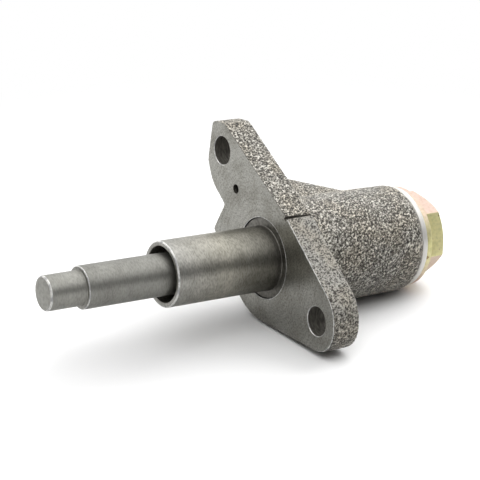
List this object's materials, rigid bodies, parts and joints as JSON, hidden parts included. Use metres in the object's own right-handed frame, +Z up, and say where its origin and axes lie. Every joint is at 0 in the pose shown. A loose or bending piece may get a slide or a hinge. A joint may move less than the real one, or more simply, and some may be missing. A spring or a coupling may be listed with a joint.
{
  "type": "timing chain tensioner",
  "caption": "Hydraulic timing chain tensioner with a cast flanged housing, steel guide sleeve, sprung plunger and hexagon rear plug.",
  "frame": {"origin": "plunger axis at the machined mounting face", "axes": "+X along the plunger axis towards its tip, +Z up with the oil hole and the upper mounting hole above the axis, +Y to the side of the lower mounting hole"},
  "size_m": [0.137, 0.0673, 0.0612],
  "materials": {
    "cast_iron": "shot-blasted casting with machined faces",
    "sleeve_steel": "satin ground",
    "plunger_steel": "satin turned",
    "spring_steel": "drawn wire",
    "ball_steel": "polished",
    "cage_sheet": "pressed sheet",
    "yellow_zinc": "yellow zinc plate",
    "soft_aluminium": "soft sealing washer"
  },
  "bodies": {
    "base": {"housing": "cast_iron", "guide_sleeve": "sleeve_steel", "stop_ring": "spring_steel", "main_spring": "spring_steel", "valve_seat": "sleeve_steel", "ball_spring": "spring_steel", "ball_cage": "cage_sheet", "rear_plug": "yellow_zinc", "sealing_washer": "soft_aluminium"},
    "plunger": {"plunger": "plunger_steel"},
    "valve_ball": {"check_ball": "ball_steel"}
  },
  "joints": [
    {"name": "plunger_slide", "type": "slide", "parent": "base", "child": "plunger", "axis": [1, 0, 0], "range_m": [-0.024, 0], "stiffness_N_per_m": 1700, "springref_m": 0.02, "deforming": ["main_spring"]},
    {"name": "check_ball_lift", "type": "slide", "parent": "base", "child": "valve_ball", "axis": [1, 0, 0], "range_m": [0, 0.0008], "stiffness_N_per_m": 60, "springref_m": -0.002, "deforming": ["ball_spring"]}
  ]
}
